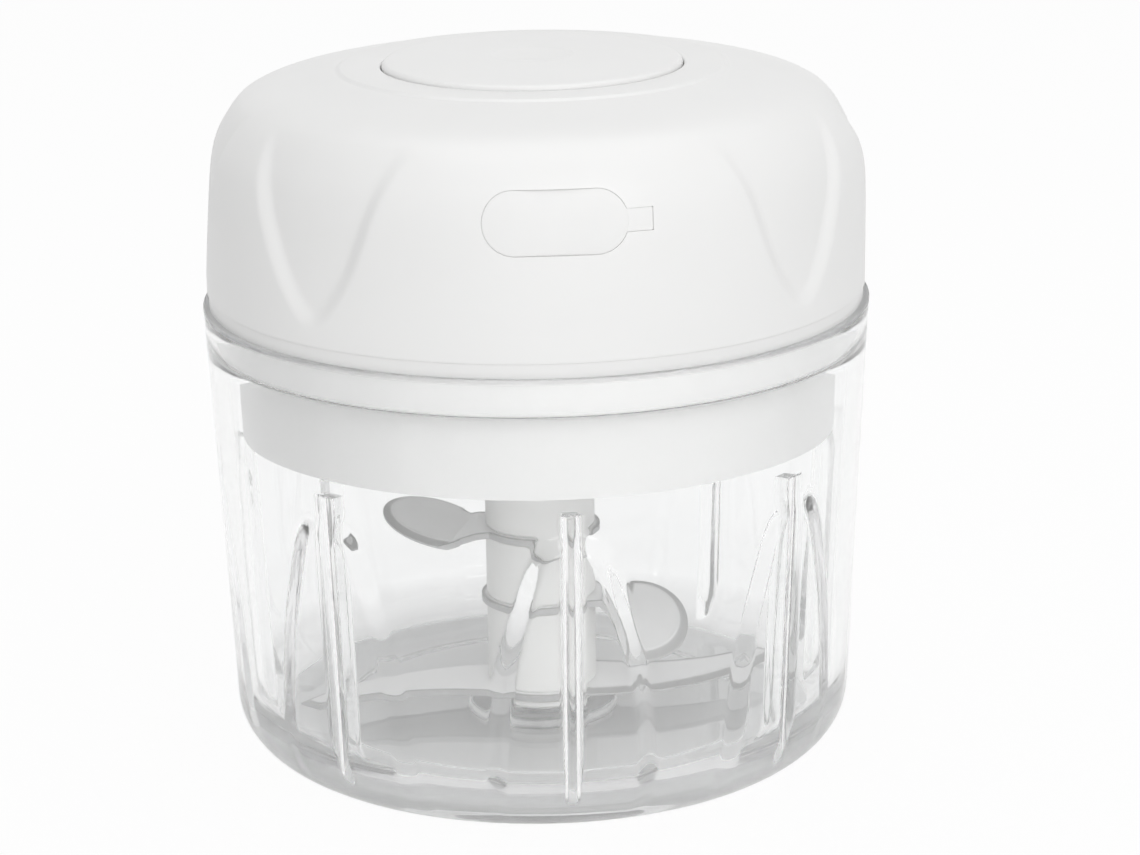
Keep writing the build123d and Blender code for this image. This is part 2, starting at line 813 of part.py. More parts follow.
# Lower housing: lip on the bowl rim, plug inside the rim, skirt and bottom plate
with BuildPart() as lower_housing:
    with BuildSketch(Plane.XZ):
        with BuildLine():
            Polyline(
                (0, plate_height),
                (skirt_radius - skirt_wall - skirt_lean * (plug_bottom - skirt_bottom), plate_height),
                (skirt_radius - skirt_wall - skirt_lean * (plug_bottom - skirt_bottom), skirt_bottom),
                (skirt_radius - skirt_lean * (plug_bottom - skirt_bottom), skirt_bottom),
                (skirt_radius, plug_bottom),
                (plug_radius, plug_bottom),
                (plug_radius, bowl_height),
                (lip_radius, bowl_height),
                (lip_radius, parting_height),
                (skirt_radius - skirt_wall, parting_height),
                (skirt_radius - skirt_wall, plate_top),
                (0, plate_top),
                close=True,
            )
        make_face()
    revolve(axis=Axis.Z)
    for turn in post_turns:
        with Locations((*along(turn, post_circle), plate_top)):
            Cylinder(
                post_radius, parting_height - plate_top, align=(Align.CENTER, Align.CENTER, Align.MIN)
            )
        with Locations((*along(turn, post_circle), plate_height)):
            Cylinder(
                screw_radius + screw_hole_gap, bowl_height,
                align=(Align.CENTER, Align.CENTER, Align.MIN), mode=Mode.SUBTRACT,
            )
            Cylinder(
                screw_head_radius + screw_hole_gap, screw_head_height,
                align=(Align.CENTER, Align.CENTER, Align.MIN), mode=Mode.SUBTRACT,
            )
    with Locations((0, 0, plate_height)):
        Cylinder(
            coupling_neck + neck_gap, bowl_height,
            align=(Align.CENTER, Align.CENTER, Align.MIN), mode=Mode.SUBTRACT,
        )
    with Locations((0, 0, plate_top - seal_depth)):
        Cylinder(
            seal_outer, seal_depth, align=(Align.CENTER, Align.CENTER, Align.MIN), mode=Mode.SUBTRACT
        )
    for side in (-1, 1):
        with Locations((side * bracket_screw_circle, 0, plate_height + blind_floor)):
            Cylinder(
                small_screw_radius, plate_thickness,
                align=(Align.CENTER, Align.CENTER, Align.MIN), mode=Mode.SUBTRACT,
            )

with BuildPart() as bowl_seal:
    with BuildSketch(Plane.XY.offset(ledge_height)):
        Circle(plug_radius)
        Circle(skirt_radius + plug_gap, mode=Mode.SUBTRACT)
    extrude(amount=seal_thickness)

with BuildPart() as shaft_seal:
    with BuildSketch(Plane.XY.offset(plate_top - seal_depth)):
        Circle(seal_outer)
        Circle(coupling_neck + running_gap, mode=Mode.SUBTRACT)
    extrude(amount=seal_depth)

# Motor and its bracket
with BuildPart() as motor_bracket:
    with BuildSketch(Plane.XY.offset(plate_top)):
        Circle(motor_radius + bracket_wall)
        Rectangle(2 * bracket_flange, bracket_flange_width)
        Circle(coupling_neck + bracket_neck_gap, mode=Mode.SUBTRACT)
    extrude(amount=bracket_plate)
    with BuildSketch(Plane.XY.offset(motor_bottom)):
        Circle(motor_radius + bracket_wall)
        Circle(motor_radius + running_gap, mode=Mode.SUBTRACT)
    extrude(amount=bracket_rise)
    for side in (-1, 1):
        with Locations((side * bracket_screw_circle, 0, plate_top)):
            Cylinder(
                small_screw_radius + small_hole_gap, bracket_plate,
                align=(Align.CENTER, Align.CENTER, Align.MIN), mode=Mode.SUBTRACT,
            )
        with Locations((0, side * motor_screw_circle, plate_top)):
            Cylinder(
                small_screw_radius + small_hole_gap, bracket_plate,
                align=(Align.CENTER, Align.CENTER, Align.MIN), mode=Mode.SUBTRACT,
            )
            Cylinder(
                small_head_radius + small_hole_gap, small_head_height,
                align=(Align.CENTER, Align.CENTER, Align.MIN), mode=Mode.SUBTRACT,
            )

with BuildPart() as motor_can:
    with Locations((0, 0, motor_bottom)):
        Cylinder(motor_radius, motor_length, align=(Align.CENTER, Align.CENTER, Align.MIN))
    fillet(motor_can.edges().group_by(Axis.Z)[-1], radius=can_round)
    Cylinder(shaft_radius + running_gap, 3 * roof_top, mode=Mode.SUBTRACT)
    for side in (-1, 1):
        with Locations((0, side * motor_screw_circle, motor_bottom)):
            Cylinder(
                small_screw_radius, motor_thread_depth,
                align=(Align.CENTER, Align.CENTER, Align.MIN), mode=Mode.SUBTRACT,
            )

with BuildPart() as motor_cap:
    with Locations((0, 0, motor_top)):
        Cylinder(cap_radius, cap_length, align=(Align.CENTER, Align.CENTER, Align.MIN))
    fillet(motor_cap.edges().group_by(Axis.Z)[-1], radius=cap_round)
    Cylinder(shaft_radius + running_gap, 3 * roof_top, mode=Mode.SUBTRACT)
    for side in (-1, 1):
        with Locations((side * cap_radius * 0.62, 0, cap_top)):
            Box(vent_width, vent_length, 2 * vent_depth, mode=Mode.SUBTRACT)


def screw(place, across, head_height, shank_radius, length, head_down):
    # a pan-head screw with a cross recess, its head at the lower end
    with BuildPart(mode=Mode.PRIVATE) as one:
        Cylinder(across, head_height, align=(Align.CENTER, Align.CENTER, Align.MIN))
        fillet(one.edges().group_by(Axis.Z)[0], radius=head_height * 0.35)
        Box(
            across * 1.1, across * 0.3, head_height,
            align=(Align.CENTER, Align.CENTER, Align.CENTER), mode=Mode.SUBTRACT,
        )
        Box(
            across * 0.3, across * 1.1, head_height,
            align=(Align.CENTER, Align.CENTER, Align.CENTER), mode=Mode.SUBTRACT,
        )
        with Locations((0, 0, head_height)):
            Cylinder(shank_radius, length, align=(Align.CENTER, Align.CENTER, Align.MIN))
        chamfer(one.edges().group_by(Axis.Z)[-1], length=shank_radius * 0.5)
    turned = one.part
    if not head_down:
        turned = turned.rotate(Axis.X, 180)
    return turned.move(Location(place))


with BuildPart() as motor_screws:
    for side in (-1, 1):
        motor_screw_length = bracket_plate - small_head_height + motor_thread_depth - screw_end_gap
        add(screw((0, side * motor_screw_circle, plate_top), small_head_radius, small_head_height,
                  small_screw_radius, motor_screw_length, True))

with BuildPart() as bracket_screws:
    for side in (-1, 1):
        add(screw((side * bracket_screw_circle, 0, motor_bottom + small_head_height), small_head_radius,
                  small_head_height, small_screw_radius, bracket_plate + bracket_screw_bite, False))

with BuildPart() as housing_screws:
    for turn in post_turns:
        add(screw((*along(turn, post_circle), plate_height), screw_head_radius, screw_head_height,
                  screw_radius, parting_height - plate_height - screw_head_height + post_screw_grip, True))

with BuildPart() as board_screws:
    for turn in board_post_turns:
        add(screw((*along(turn, board_post_circle), board_bottom - small_head_height), small_head_radius,
                  small_head_height, small_screw_radius, board_thickness + board_screw_grip, True))

# Battery cell lying behind the motor in its saddle
with BuildPart() as battery_cell:
    with BuildSketch(Plane.YZ.offset(-cell_length / 2)):
        with Locations((cell_offset, cell_height)):
            Circle(cell_radius)
    extrude(amount=cell_length - cell_tip)
    fillet(battery_cell.edges().filter_by(GeomType.CIRCLE), radius=cell_round)
    with BuildSketch(Plane.YZ.offset(cell_length / 2 - cell_tip)):
        with Locations((cell_offset, cell_height)):
            Circle(cell_radius * 0.4)
    extrude(amount=cell_tip)

with BuildPart() as cell_holder:
    with BuildSketch(Plane.XY.offset(plate_top)):
        with Locations((0, cell_offset)):
            Rectangle(2 * holder_half_span + holder_wall, 2 * cell_radius - holder_margin)
    extrude(amount=holder_base)
    for side in (-1, 1):
        with BuildSketch(Plane.YZ.offset(side * holder_half_span - holder_wall / 2)):
            with Locations((cell_offset, plate_top)):
                Rectangle(
                    2 * cell_radius - holder_margin, cell_height - plate_top - holder_margin,
                    align=(Align.CENTER, Align.MIN),
                )
            with Locations((cell_offset, cell_height)):
                Circle(cell_radius + running_gap, mode=Mode.SUBTRACT)
        extrude(amount=holder_wall)

# Nickel strips from the cell ends and the motor's terminals up to the board
with BuildPart() as cell_strips:
    strip_route = [
        (cell_length / 2, cell_height - strip_drop),
        (cell_length / 2, board_bottom - strip_board_gap),
        (strip_landing, board_bottom - strip_board_gap),
        (strip_landing, board_bottom),
    ]
    with BuildSketch(Plane.XZ.offset(-cell_offset)):
        with BuildLine():
            Polyline(*strip_outline(strip_route, -strip_thickness), close=True)
        make_face()
    extrude(amount=strip_width / 2, both=True)
    mirror(about=Plane.YZ)

with BuildPart() as motor_terminals:
    for side in (-1, 1):
        with Locations((0, side * cap_radius * 0.62, cap_top)):
            Box(
                strip_width, strip_thickness, board_bottom - cap_top,
                align=(Align.CENTER, Align.CENTER, Align.MIN),
            )

# Control board with charging socket and switch
with BuildPart() as control_board:
    with BuildSketch(Plane.XY.offset(board_bottom)):
        Circle(board_radius)
        with Locations((flap_offset, 0)):
            Rectangle(board_tongue, board_reach, align=(Align.CENTER, Align.MAX))
        for turn in board_post_turns:
            with Locations(along(turn, board_post_circle)):
                Circle(small_screw_radius, mode=Mode.SUBTRACT)
    extrude(amount=board_thickness)

with BuildPart() as usb_socket:
    low = -socket_height / 2
    half = socket_width / 2
    with BuildSketch(Plane.XZ.offset(socket_front - socket_depth)):
        with BuildLine():
            Polyline(
                (flap_offset - half + socket_chamfer, port_height + low),
                (flap_offset + half - socket_chamfer, port_height + low),
                (flap_offset + half, port_height + low + socket_chamfer),
                (flap_offset + half, port_height - low),
                (flap_offset - half, port_height - low),
                (flap_offset - half, port_height + low + socket_chamfer),
                close=True,
            )
        make_face()
    extrude(amount=socket_depth)
    socket_mouth = usb_socket.faces().sort_by(Axis.Y)[0]
    offset(amount=-socket_shell, openings=socket_mouth)
    with BuildSketch(Plane.XZ.offset(socket_front - socket_depth)):
        with Locations((flap_offset, port_height + socket_tongue_rise)):
            Rectangle(socket_width * 0.5, socket_tongue)
    extrude(amount=socket_depth - socket_tongue_setback)

with BuildPart() as switch_body:
    with BuildSketch(Plane.XY.offset(board_top)) as switch_outline:
        Rectangle(switch_size, switch_size)
        fillet(switch_outline.vertices(), radius=switch_round)
    extrude(amount=switch_body_height)
    with Locations((0, 0, switch_top)):
        Cylinder(
            plunger_radius + plunger_gap, switch_body_height - switch_floor,
            align=(Align.CENTER, Align.CENTER, Align.MAX), mode=Mode.SUBTRACT,
        )

with BuildPart() as switch_plunger:
    with Locations((0, 0, stem_bottom)):
        Cylinder(
            plunger_radius, stem_bottom - switch_top + plunger_grip,
            align=(Align.CENTER, Align.CENTER, Align.MAX),
        )

# Press button with its return spring
with BuildPart() as button:
    with BuildSketch(turning_plane) as button_outline:
        with BuildLine():
            Line((0, button_top + button_crown), (0, stem_bottom))
            Polyline(
                (0, stem_bottom),
                (stem_radius, stem_bottom),
                (stem_radius, button_under),
                (button_radius - button_wall, button_under),
                (button_radius - button_wall, roof_under - flange_thickness),
                (button_radius + flange_width, roof_under - flange_thickness),
                (button_radius + flange_width, roof_under),
                (button_radius, roof_under),
                (button_radius, button_top - button_edge),
            )
            RadiusArc(
                (button_radius, button_top - button_edge),
                (button_radius - button_edge, button_top),
                -button_edge,
            )
            ThreePointArc(
                (button_radius - button_edge, button_top),
                (button_radius * 0.5, button_top + button_crown * 0.74),
                (0, button_top + button_crown),
            )
        make_face()
    revolve(axis=Axis.Z)
    dish_ball = (dish_radius ** 2 + dish_depth ** 2) / (2 * dish_depth)
    with Locations((0, 0, button_top + button_crown - dish_depth + dish_ball)):
        Sphere(dish_ball, mode=Mode.SUBTRACT)

spring_bottom = board_top + spring_wire / 2
spring_height = button_under - board_top - spring_wire
with BuildPart() as button_spring:
    with BuildLine() as coil:
        Helix(pitch=spring_height / spring_turns, height=spring_height, radius=spring_radius,
              center=(0, 0, spring_bottom))
    with BuildSketch(Plane(origin=coil.line @ 0, z_dir=coil.line % 0)):
        RegularPolygon(spring_wire / 2, 8)
    sweep()

os.makedirs("parts", exist_ok=True)
pieces = {
    "bowl": bowl,
    "pivot_pin": pivot_pin,
    "spindle": spindle,
    "hub_foot": hub_foot,
    "lower_blade": lower_blade,
    "hub_lower": hub_lower,
    "middle_blade": middle_blade,
    "hub_middle": hub_middle,
    "upper_blade": upper_blade,
    "hub_upper": hub_upper,
    "motor_shaft": motor_shaft,
    "drive_coupling": drive_coupling,
    "upper_housing": upper_housing,
    "lower_housing": lower_housing,
    "bowl_seal": bowl_seal,
    "shaft_seal": shaft_seal,
    "motor_bracket": motor_bracket,
    "motor_can": motor_can,
    "motor_cap": motor_cap,
    "motor_screws": motor_screws,
    "bracket_screws": bracket_screws,
    "housing_screws": housing_screws,
    "board_screws": board_screws,
    "battery_cell": battery_cell,
    "cell_holder": cell_holder,
    "cell_strips": cell_strips,
    "motor_terminals": motor_terminals,
    "control_board": control_board,
    "usb_socket": usb_socket,
    "switch_body": switch_body,
    "switch_plunger": switch_plunger,
    "button": button,
    "button_spring": button_spring,
    "port_flap": port_flap,
    "flap_tether": flap_tether,
}
for name, piece in pieces.items():
    piece.part.label = name
    export_step(piece.part, f"parts/{name}.step")
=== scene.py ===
import math

import bpy
import numpy as np
from mathutils import Matrix, Vector


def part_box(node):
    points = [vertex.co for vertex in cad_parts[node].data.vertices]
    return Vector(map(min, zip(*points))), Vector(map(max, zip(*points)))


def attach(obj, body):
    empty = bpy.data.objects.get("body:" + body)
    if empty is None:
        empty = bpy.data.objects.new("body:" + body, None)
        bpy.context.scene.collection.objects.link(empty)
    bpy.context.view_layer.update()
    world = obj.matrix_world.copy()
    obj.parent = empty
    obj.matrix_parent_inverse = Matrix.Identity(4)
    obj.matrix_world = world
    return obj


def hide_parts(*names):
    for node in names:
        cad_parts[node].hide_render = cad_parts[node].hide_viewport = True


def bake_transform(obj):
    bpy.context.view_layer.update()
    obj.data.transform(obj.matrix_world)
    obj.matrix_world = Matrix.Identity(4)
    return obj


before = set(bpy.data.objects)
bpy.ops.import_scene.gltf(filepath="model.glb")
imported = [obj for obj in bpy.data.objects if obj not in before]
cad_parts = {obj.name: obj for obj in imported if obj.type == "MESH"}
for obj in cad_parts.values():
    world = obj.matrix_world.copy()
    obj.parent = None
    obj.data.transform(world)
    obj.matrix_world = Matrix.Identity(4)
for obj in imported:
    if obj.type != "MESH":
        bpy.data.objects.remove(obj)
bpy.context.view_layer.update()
millimetre = 0.001
blade_thickness = 0.8


class Strand:
    """One socket of a finish's tree; sums and products of strands add the Math nodes for them."""

    def __init__(self, finish, socket):
        self.finish = finish
        self.socket = socket

    def maths(self, operation, first, second):
        return self.finish.node("ShaderNodeMath", {"operation": operation}, {0: first, 1: second})

    def __add__(self, other):
        return self.maths("ADD", self, other)

    def __radd__(self, other):
        return self.maths("ADD", other, self)

    def __sub__(self, other):
        return self.maths("SUBTRACT", self, other)

    def __mul__(self, other):
        return self.maths("MULTIPLY", self, other)


class Finish:
    """A node tree for one surface."""

    def __init__(self, tree):
        self.tree = tree
        self.tree.nodes.clear()

    def node(self, kind, settings, values, output=0):
        # one node: its settings first, then the numbers, colours or strands of its sockets
        node = self.tree.nodes.new(kind)
        for name, setting in settings.items():
            setattr(node, name, setting)
        for name, value in values.items():
            if isinstance(value, Strand):
                self.tree.links.new(value.socket, node.inputs[name])
            else:
                node.inputs[name].default_value = value
        if not node.outputs:
            return None
        return Strand(self, node.outputs[output])

    def place(self):
        return self.node("ShaderNodeTexCoord", {}, {}, "Object")

    def noise(self, place, size, detail=2.0, rough=0.5):
        # soft noise with features of a given size in millimetres
        values = {"Vector": place, "Scale": 1.0 / (size * millimetre), "Detail": detail, "Roughness": rough}
        return self.node("ShaderNodeTexNoise", {}, values, "Fac")

    def length(self, vector):
        return self.node("ShaderNodeVectorMath", {"operation": "LENGTH"}, {0: vector}, "Value")

    def stretched(self, place, stretch):
        return self.node("ShaderNodeVectorMath", {"operation": "MULTIPLY"}, {0: place, 1: stretch})

    def mix(self, share, first, second):
        return self.node("ShaderNodeMix", {"data_type": "RGBA"}, {0: share, 6: first, 7: second}, 2)

    def ramp(self, value, low, high):
        # 0 below low, 1 above high, straight between
        settings = {"clamp": True}
        values = {0: value, 1: low, 2: high, 3: 0.0, 4: 1.0}
        return self.node("ShaderNodeMapRange", settings, values)

    def band(self, value, low, high):
        # the same ramp between two lengths in millimetres
        return self.ramp(value, low * millimetre, high * millimetre)

    def bump(self, height, depth):
        # relief of a given depth in millimetres
        values = {"Height": height, "Strength": 1.0, "Distance": depth * millimetre}
        return self.node("ShaderNodeBump", {}, values)

    def surface(self, values):
        self.output(self.node("ShaderNodeBsdfPrincipled", {}, values))

    def output(self, shader):
        self.node("ShaderNodeOutputMaterial", {}, {"Surface": shader})


def new_finish(name):
    material = bpy.data.materials.new(name)
    material.use_nodes = True
    return material, Finish(material.node_tree)


def shade(colour, amount):
    return (colour[0] * amount, colour[1] * amount, colour[2] * amount, 1.0)


def grey(level):
    return (level, level, level, 1.0)


def swing(noise, amount):
    # a noise's swing about its mean
    return (noise - 0.5) * amount


def moulded(name, colour, roughness, grain_size, grain_depth):
    # moulded plastic: faint cloudiness, fine sparked grain and uneven gloss
    material, finish = new_finish(name)
    place = finish.place()
    cloud = finish.noise(place, size=18.0, detail=3.0)
    grain = finish.noise(place, size=grain_size, rough=0.6)
    rubbed = finish.noise(place, size=6.0, detail=4.0, rough=0.6)
    finish.surface({
        "Base Color": finish.mix(cloud, shade(colour, 0.975), shade(colour, 1.012)),
        "Roughness": roughness + swing(rubbed, 0.10) + swing(grain, 0.06),
        "IOR": 1.5,
        "Normal": finish.bump(grain, grain_depth),
    })
    return material


def rubbery(name, colour, roughness):
    # soft silicone: matt, with a dusty sheen and a very fine pore
    material, finish = new_finish(name)
    place = finish.place()
    cloud = finish.noise(place, size=7.0, detail=3.0)
    pore = finish.noise(place, size=0.2, rough=0.65)
    finish.surface({
        "Base Color": finish.mix(cloud, shade(colour, 0.965), shade(colour, 1.01)),
        "Roughness": roughness + swing(pore, 0.14),
        "IOR": 1.42,
        "Sheen Weight": 0.08,
        "Sheen Roughness": 0.5,
        "Normal": finish.bump(pore, 0.004),
    })
    return material


# Fine lines in bare metal
line_size = 0.12
line_depth = 0.0012


def metal(name, colour, roughness, lay):
    # bare metal with fine lines; lay stretches them along one direction
    material, finish = new_finish(name)
    place = finish.place()
    lines = finish.noise(finish.stretched(place, lay), size=line_size, detail=3.0, rough=0.6)
    cloud = finish.noise(place, size=5.0, detail=3.0)
    finish.surface({
        "Base Color": finish.mix(cloud, shade(colour, 0.93), shade(colour, 1.03)),
        "Metallic": 1.0,
        "Roughness": roughness + swing(lines, 0.14) + swing(cloud, 0.06),
        "Normal": finish.bump(lines, line_depth),
    })
    return material


def steel_with_painted_bevel_shade(name, colour, roughness):
    # satin blade steel, with painted shade: greyer where the blade thins towards an edge
    material, finish = new_finish(name)
    place = finish.place()
    settings = {"samples": 8, "inside": True, "only_local": True}
    depth = {"Distance": 0.95 * blade_thickness * millimetre}
    thick = finish.node("ShaderNodeAmbientOcclusion", settings, depth, "AO")
    # painted shade: where the blade thins at its bevels the base colour is greyed, standing in for their
    # darker look under the lamps
    painted_bevel_shade = finish.ramp(thick, 0.97, 0.80)
    lines = finish.noise(finish.stretched(place, (0.12, 1.0, 1.0)), size=line_size, detail=3.0, rough=0.6)
    cloud = finish.noise(place, size=5.0, detail=3.0)
    satin = finish.mix(cloud, shade(colour, 0.96), shade(colour, 1.03))
    finish.surface({
        # the painted bevel shade is mixed into the satin colour here
        "Base Color": finish.mix(painted_bevel_shade, satin, shade(colour, 0.56)),
        "Metallic": 0.3,
        "Roughness": roughness + swing(lines, 0.14) + swing(cloud, 0.06),
        "Normal": finish.bump(lines, line_depth),
    })
    return material


def clear_plastic(name):
    # clear bowl: a faint cool tint, slow flow waves and wiped smears; frosted on the underside, brim and
    # ledge, hazed on the foot ring, and nearly clear to shadow rays
    material, finish = new_finish(name)
    place = finish.place()
    flow = finish.noise(finish.stretched(place, (1.0, 1.0, 0.35)), size=9.0, detail=1.0)
    smear = finish.noise(finish.stretched(place, (1.0, 1.0, 0.5)), size=14.0, detail=3.0)
    height = finish.node("ShaderNodeSeparateXYZ", {}, {"Vector": place}, "Z")
    reach = finish.length(finish.stretched(place, (1.0, 1.0, 0.0)))
    under = finish.band(height, 1.1, 0.5)
    brim = finish.band(height, bowl_height - 0.8, bowl_height - 0.3)
    ledge = finish.band(height, ledge_height - 0.5, ledge_height - 0.3)
    ledge = ledge * finish.band(height, ledge_height + 0.8, ledge_height + 0.5)
    ledge = ledge * finish.band(reach, brim_inner + 0.2, brim_inner - 0.2)
    foot_ring = under * finish.band(reach, foot_edge - 2.0, foot_edge + 3.0)
    solid = finish.node("ShaderNodeBsdfPrincipled", {}, {
        "Base Color": finish.mix(smear, (0.98, 0.984, 0.984, 1.0), (0.99, 0.992, 0.992, 1.0)),
        "Roughness": 0.015 + finish.ramp(smear, 0.58, 0.9) * 0.05 + (under + brim + ledge) * 0.55,
        "IOR": 1.52,
        "Transmission Weight": 0.985,
        "Normal": finish.bump(flow, 0.02),
    })
    haze = finish.node("ShaderNodeBsdfDiffuse", {}, {"Color": (0.95, 0.955, 0.955, 1.0)})
    body = finish.node("ShaderNodeMixShader", {}, {0: foot_ring * 0.7, 1: solid, 2: haze})
    lit = finish.node("ShaderNodeBsdfTransparent", {}, {"Color": grey(0.98)})
    shadow = finish.node("ShaderNodeLightPath", {}, {}, "Is Shadow Ray")
    finish.output(finish.node("ShaderNodeMixShader", {}, {0: shadow, 1: body, 2: lit}))
    return material


def board_resin(name):
    # solder-masked board: green lacquer over faint copper runs
    material, finish = new_finish(name)
    place = finish.place()
    values = {"Vector": place, "Scale": 160.0, "Mortar Size": 0.05}
    runs = finish.node("ShaderNodeTexBrick", {"offset": 0.5}, values, "Fac")
    cloud = finish.noise(place, size=4.0)
    lacquer = finish.mix(cloud, (0.012, 0.10, 0.035, 1.0), (0.018, 0.14, 0.05, 1.0))
    finish.surface({
        "Base Color": finish.mix(runs, lacquer, (0.04, 0.24, 0.08, 1.0)),
        "Roughness": 0.32 + swing(cloud, 0.1),
        "Normal": finish.bump(runs, 0.03),
    })
    return material


def cell_sleeve(name):
    # shrink sleeve of the cell: glossy film with tight wrinkles
    material, finish = new_finish(name)
    place = finish.place()
    wrinkle = finish.noise(finish.stretched(place, (0.2, 1.0, 1.0)), size=1.6)
    cloud = finish.noise(place, size=8.0)
    finish.surface({
        "Base Color": finish.mix(cloud, (0.03, 0.14, 0.34, 1.0), (0.04, 0.18, 0.42, 1.0)),
        "Roughness": 0.26 + swing(wrinkle, 0.12),
        "Normal": finish.bump(wrinkle, 0.05),
    })
    return material


def link_mesh(name, vertices, faces, smooth=True):
    mesh = bpy.data.meshes.new(name)
    mesh.from_pydata([tuple(one) for one in vertices], [], [tuple(one) for one in faces])
    mesh.update()
    if smooth:
        mesh.shade_smooth()
    piece = bpy.data.objects.new(name, mesh)
    bpy.context.scene.collection.objects.link(piece)
    return piece


def turned_mesh(name, radii, heights, turns):
    # a closed turned body: one row per profile point, one column per turn; a zero radius makes a pole
    count = len(turns)
    vertices = []
    rows = []
    for radius_row, height_row in zip(radii, heights):
        if np.max(radius_row) == 0.0:
            rows.append([len(vertices)] * count)
            vertices.append((0.0, 0.0, float(height_row[0]) * millimetre))
            continue
        rows.append(list(range(len(vertices), len(vertices) + count)))
        across = radius_row * np.sin(turns) * millimetre
        ahead = -radius_row * np.cos(turns) * millimetre
        up = height_row * millimetre
        vertices.extend(zip(across.tolist(), ahead.tolist(), up.tolist()))
    faces = []
    for lower, upper in zip(rows, rows[1:]):
        for column in range(count):
            after = (column + 1) % count
            corners = [lower[column], lower[after], upper[after], upper[column]]
            faces.append(list(dict.fromkeys(corners)))
    if np.max(radii[0]) > 0.0:
        for column in range(count):
            after = (column + 1) % count
            faces.append([rows[-1][column], rows[-1][after], rows[0][after], rows[0][column]])
    return link_mesh(name, vertices, faces)


def smooth_line(points, start_way, end_way, count):
    # a curve through the points that leaves and arrives in the given directions, with its outward side
    points = np.array(points, float)
    steps = np.hypot(*np.diff(points, axis=0).T)
    knots = np.concatenate(([0.0], np.cumsum(steps)))
    size = len(points)
    table = np.zeros((size, size))
    right = np.zeros((size, 2))
    table[0, 0] = 1.0
    table[-1, -1] = 1.0
    right[0] = np.array(start_way) / np.hypot(*start_way)
    right[-1] = np.array(end_way) / np.hypot(*end_way)
    for index in range(1, size - 1):
        before = steps[index - 1]
        after = steps[index]
        table[index, index - 1] = after
        table[index, index] = 2.0 * (before + after)
        table[index, index + 1] = before
        rise = after * (points[index] - points[index - 1]) / before
        fall = before * (points[index + 1] - points[index]) / after
        right[index] = 3.0 * (rise + fall)
    slopes = np.linalg.solve(table, right)
    spread = np.linspace(0.0, knots[-1], count)
    part = np.clip(np.searchsorted(knots, spread, side="right") - 1, 0, size - 2)
    length = steps[part][:, None]
    share = ((spread - knots[part]) / steps[part])[:, None]
    first = points[part]
    second = points[part + 1]
    first_slope = slopes[part] * length
    second_slope = slopes[part + 1] * length
    bend = 2.0 * first - 2.0 * second + first_slope + second_slope
    swing = -3.0 * first + 3.0 * second - 2.0 * first_slope - second_slope
    line = ((bend * share + swing) * share + first_slope) * share + first
    way = (3.0 * bend * share + 2.0 * swing) * share + first_slope
    way = way / np.hypot(way[:, 0], way[:, 1])[:, None]
    outward = np.stack([way[:, 1], -way[:, 0]], axis=1)
    return line, outward


def soft_lesser(first, second, blend):
    # the smaller of two values with a rounded changeover
    return 0.5 * (first + second - np.hypot(first - second, blend))


def corner(radius, height, start, end, size, count):
    # points on a rounded corner about a centre, turned from start to end in degrees
    angles = np.radians(np.linspace(start, end, count))
    return [(radius + size * math.cos(one), height + size * math.sin(one)) for one in angles]


def add_rows(radii, heights, points, turns):
    # rows of a turned body that are the same all round
    for radius, height in points:
        radii.append(np.full_like(turns, radius))
        heights.append(np.full_like(turns, height))


# Head shell
head_radius = 43.4
parting_height = 62.8
head_rise = 28.35
shoulder_run = 17.2
shoulder_top = parting_height + head_rise
roof_top = shoulder_top + 0.45
head_wall = 2.6
roof_under = shoulder_top - head_wall
roof_radii = (22.4, 20.8)
roof_under_radius = 23.0
hem_round = 0.1
crease_inset = 0.5
crease_run = 0.8
crease_foot = 0.08
button_hole = 19.73
hole_round = 0.35
petal_count = 8
petal_depth = 1.15
petal_flank = 2.5
petal_foot = 3.5
petal_foot_depth = 0.75
petal_deepening = 0.06
petal_end = 27.0
petal_fading = 0.13
# half width of a petal by the run along the shoulder
petal_outline = [
    (0.0, 3.5), (1.6, 4.1), (2.9, 5.4), (4.4, 7.4), (5.9, 10.0), (7.2, 13.0),
    (8.3, 16.0), (9.2, 19.0), (9.9, 21.6), (10.6, 24.5), (11.3, 28.0), (12.0, 40.0),
]
# shares of the run inward and of the rise upward
shoulder_shares = [
    (0.0, 0.0), (0.0, 0.162), (0.0, 0.325), (0.003, 0.466), (0.0175, 0.589), (0.064, 0.695),
    (0.145, 0.783), (0.238, 0.8535), (0.366, 0.91), (0.5755, 0.9525), (0.8255, 0.9805), (1.0, 1.0),
]


def shoulder(count):
    points = []
    for inward, upward in shoulder_shares:
        points.append((head_radius - inward * shoulder_run, parting_height + upward * head_rise))
    return smooth_line(points, (0.0, 1.0), (-1.0, 0.14), count)


def inside_outline(line, across, height):
    # distance inside an outline that is even about its middle, negative outside it
    across = np.abs(across)
    away = np.hypot(across[:, None] - line[:, 0], height - line[:, 1]).min(axis=1)
    order = np.argsort(line[:, 1])
    half_width = np.interp(height, line[order, 1], line[order, 0], left=-1.0, right=-1.0)
    return np.where(across < half_width, away, -away)


def eased(share):
    share = np.clip(share, 0.0, 1.0)
    return share * share * (3.0 - 2.0 * share)


def petal_floor(run):
    # depth of the petal floor along the shoulder: deepens upwards, then fades out
    deepening = petal_foot_depth + petal_deepening * np.maximum(run - petal_foot, 0.0)
    fading = petal_fading * (petal_end - run)
    depth = soft_lesser(deepening, petal_depth, 0.2)
    return np.maximum(soft_lesser(depth, fading, 0.4), 0.0)


def petal_sink(line, radius, run, turns):
    # how far the head's side is sunk at each turn for all the petals but the front one
    sink = np.zeros_like(turns)
    for index in range(1, petal_count):
        away = turns - 2.0 * math.pi * index / petal_count
        away = (away + math.pi) % (2.0 * math.pi) - math.pi
        inside = inside_outline(line, radius * np.sin(away), run)
        depth = petal_floor(run) * eased(inside / petal_flank + 0.5)
        sink = np.maximum(sink, np.where(np.abs(away) < 1.0, depth, 0.0))
    return sink


